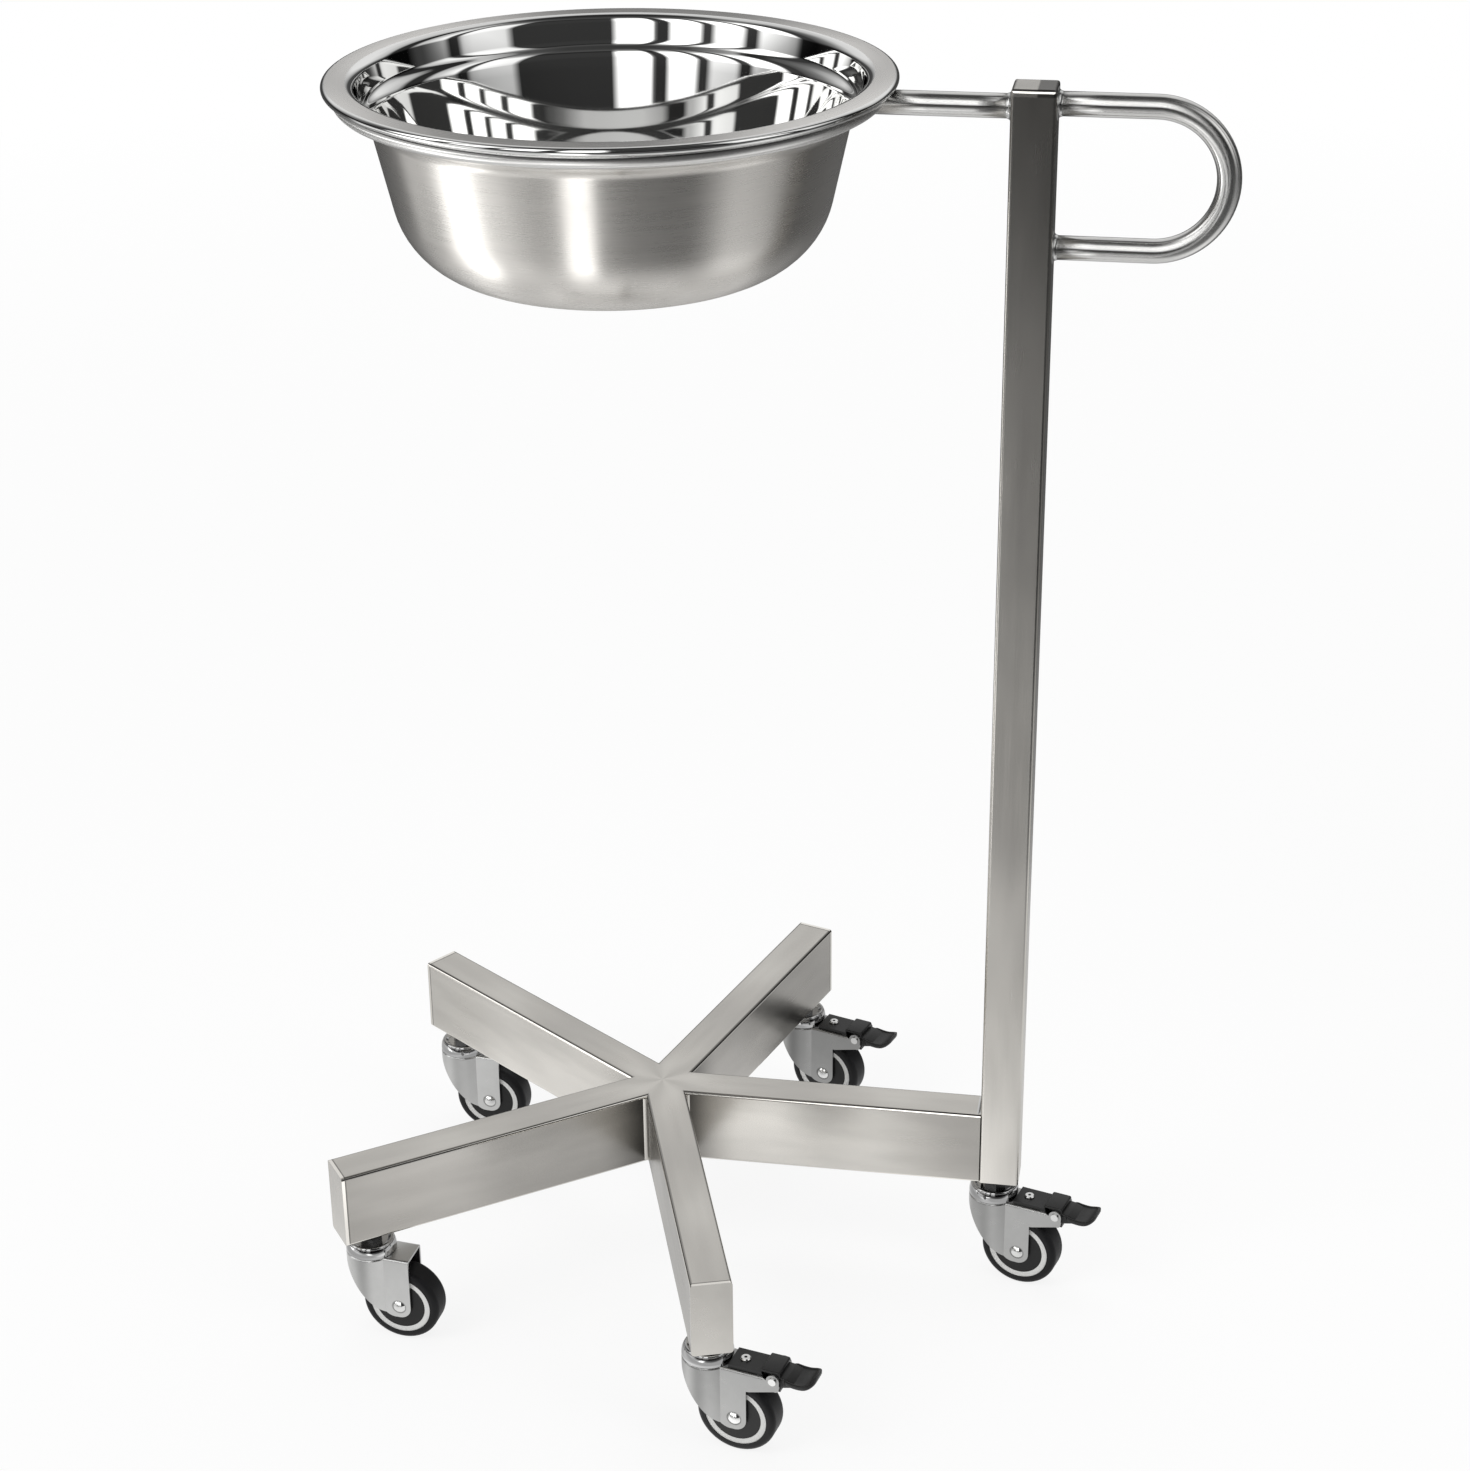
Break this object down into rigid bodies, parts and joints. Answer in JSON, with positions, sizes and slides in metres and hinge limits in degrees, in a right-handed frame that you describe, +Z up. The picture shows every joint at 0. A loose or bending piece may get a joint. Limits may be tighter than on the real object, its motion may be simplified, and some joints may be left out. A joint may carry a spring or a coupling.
{
  "type": "surgical bowl stand",
  "caption": "Stainless bowl in a ring on a side post with a push handle, on a radial base with swivel casters and foot brakes.",
  "frame": {"origin": "on the floor, below the middle of the stand's outline seen from above", "axes": "+Z up; +X from the hub along the leg that carries the post, towards the push handle; +Y towards the back of the picture's view, across that leg"},
  "size_m": [0.5181, 0.4324, 0.774],
  "materials": {
    "brushed_tube": "satin, brushed along the tube",
    "weld": "blended and brushed",
    "polished_rod": "polished",
    "bowl_steel": "spun satin outside, mirror polished inside",
    "zinc": "bright zinc",
    "chrome": "bright chrome",
    "ball_steel": "polished",
    "fork_zinc": "semi-gloss plated sheet",
    "black_rubber": "matte with a soft sheen",
    "grey_plastic": "matte",
    "black_plastic": "matte",
    "black_coated_steel": "satin black coating",
    "spring_steel": "plain spring steel"
  },
  "bodies": {
    "stand": {"leg_post": "brushed_tube", "leg_back_right": "brushed_tube", "leg_back_left": "brushed_tube", "leg_front_left": "brushed_tube", "leg_front": "brushed_tube", "leg_end_caps": "brushed_tube", "hub_welds": "weld", "post": "brushed_tube", "post_cap": "brushed_tube", "post_welds": "weld", "support_arm": "polished_rod", "support_ring": "polished_rod", "push_handle": "polished_rod", "stem_sockets": "zinc", "caster_stems": "zinc", "swivel_caps": "chrome", "swivel_balls": "ball_steel", "swivel_washers": "zinc"},
    "bowl": {"bowl": "bowl_steel"},
    "fork_post": {"fork_post": "fork_zinc", "axle_bolt_post": "zinc", "brake_pins_post": "zinc"},
    "wheel_post": {"tyre_post": "black_rubber", "wheel_core_post": "grey_plastic", "hub_covers_post": "black_plastic", "wheel_bush_post": "zinc"},
    "pedal_post": {"brake_pedal_post": "black_coated_steel"},
    "leaf_post": {"brake_leaf_post": "spring_steel"},
    "fork_back_right": {"fork_back_right": "fork_zinc", "axle_bolt_back_right": "zinc", "brake_pins_back_right": "zinc"},
    "wheel_back_right": {"tyre_back_right": "black_rubber", "wheel_core_back_right": "grey_plastic", "hub_covers_back_right": "black_plastic", "wheel_bush_back_right": "zinc"},
    "pedal_back_right": {"brake_pedal_back_right": "black_coated_steel"},
    "leaf_back_right": {"brake_leaf_back_right": "spring_steel"},
    "fork_back_left": {"fork_back_left": "fork_zinc", "axle_bolt_back_left": "zinc"},
    "wheel_back_left": {"tyre_back_left": "black_rubber", "wheel_core_back_left": "grey_plastic", "hub_covers_back_left": "black_plastic", "wheel_bush_back_left": "zinc"},
    "fork_front_left": {"fork_front_left": "fork_zinc", "axle_bolt_front_left": "zinc"},
    "wheel_front_left": {"tyre_front_left": "black_rubber", "wheel_core_front_left": "grey_plastic", "hub_covers_front_left": "black_plastic", "wheel_bush_front_left": "zinc"},
    "fork_front": {"fork_front": "fork_zinc", "axle_bolt_front": "zinc", "brake_pins_front": "zinc"},
    "wheel_front": {"tyre_front": "black_rubber", "wheel_core_front": "grey_plastic", "hub_covers_front": "black_plastic", "wheel_bush_front": "zinc"},
    "pedal_front": {"brake_pedal_front": "black_coated_steel"},
    "leaf_front": {"brake_leaf_front": "spring_steel"}
  },
  "joints": [
    {"name": "bowl_lift", "type": "slide", "parent": "stand", "child": "bowl", "axis": [0, 0, 1], "range_m": [0, 0.15]},
    {"name": "caster_swivel_post", "type": "hinge", "parent": "stand", "child": "fork_post", "pos_m": [0.1428, 0.00072, 0.06], "axis": [0, 0, 1], "continuous": true},
    {"name": "wheel_roll_post", "type": "hinge", "parent": "fork_post", "child": "wheel_post", "pos_m": [0.16251, -0.00493, 0.025], "axis": [0.2756, 0.9613, 0], "continuous": true},
    {"name": "brake_pedal_post", "type": "hinge", "parent": "fork_post", "child": "pedal_post", "pos_m": [0.18625, -0.01174, 0.059], "axis": [0.2756, 0.9613, 0], "range_deg": [0, 14]},
    {"name": "brake_leaf_post", "type": "hinge", "parent": "fork_post", "child": "leaf_post", "pos_m": [0.16996, -0.00707, 0.06], "axis": [0.2756, 0.9613, 0], "range_deg": [0, 2]},
    {"name": "caster_swivel_back_right", "type": "hinge", "parent": "stand", "child": "fork_back_right", "pos_m": [-0.00912, 0.19331, 0.06], "axis": [0, 0, 1], "continuous": true},
    {"name": "wheel_roll_back_right", "type": "hinge", "parent": "fork_back_right", "child": "wheel_back_right", "pos_m": [0.01037, 0.18698, 0.025], "axis": [0.309, 0.9511, 0], "continuous": true},
    {"name": "brake_pedal_back_right", "type": "hinge", "parent": "fork_back_right", "child": "pedal_back_right", "pos_m": [0.03386, 0.17934, 0.059], "axis": [0.309, 0.9511, 0], "range_deg": [0, 14]},
    {"name": "brake_leaf_back_right", "type": "hinge", "parent": "fork_back_right", "child": "leaf_back_right", "pos_m": [0.01775, 0.18458, 0.06], "axis": [0.309, 0.9511, 0], "range_deg": [0, 2]},
    {"name": "caster_swivel_back_left", "type": "hinge", "parent": "stand", "child": "fork_back_left", "pos_m": [-0.23552, 0.11975, 0.06], "axis": [0, 0, 1], "continuous": true},
    {"name": "wheel_roll_back_left", "type": "hinge", "parent": "fork_back_left", "child": "wheel_back_left", "pos_m": [-0.21514, 0.11761, 0.025], "axis": [0.1045, 0.9945, 0], "continuous": true},
    {"name": "caster_swivel_front_left", "type": "hinge", "parent": "stand", "child": "fork_front_left", "pos_m": [-0.23552, -0.1183, 0.06], "axis": [0, 0, 1], "continuous": true},
    {"name": "wheel_roll_front_left", "type": "hinge", "parent": "fork_front_left", "child": "wheel_front_left", "pos_m": [-0.21518, -0.1208, 0.025], "axis": [0.1219, 0.9925, 0], "continuous": true},
    {"name": "caster_swivel_front", "type": "hinge", "parent": "stand", "child": "fork_front", "pos_m": [-0.00912, -0.19187, 0.06], "axis": [0, 0, 1], "continuous": true},
    {"name": "wheel_roll_front", "type": "hinge", "parent": "fork_front", "child": "wheel_front", "pos_m": [0.01085, -0.19648, 0.025], "axis": [0.225, 0.9744, 0], "continuous": true},
    {"name": "brake_pedal_front", "type": "hinge", "parent": "fork_front", "child": "pedal_front", "pos_m": [0.03492, -0.20203, 0.059], "axis": [0.225, 0.9744, 0], "range_deg": [0, 14]},
    {"name": "brake_leaf_front", "type": "hinge", "parent": "fork_front", "child": "leaf_front", "pos_m": [0.0184, -0.19822, 0.06], "axis": [0.225, 0.9744, 0], "range_deg": [0, 2]}
  ],
  "couplings": [
    {"joint": "brake_leaf_post", "follows": "brake_pedal_post", "ratio": 0.14286},
    {"joint": "brake_leaf_back_right", "follows": "brake_pedal_back_right", "ratio": 0.14286},
    {"joint": "brake_leaf_front", "follows": "brake_pedal_front", "ratio": 0.14286}
  ]
}
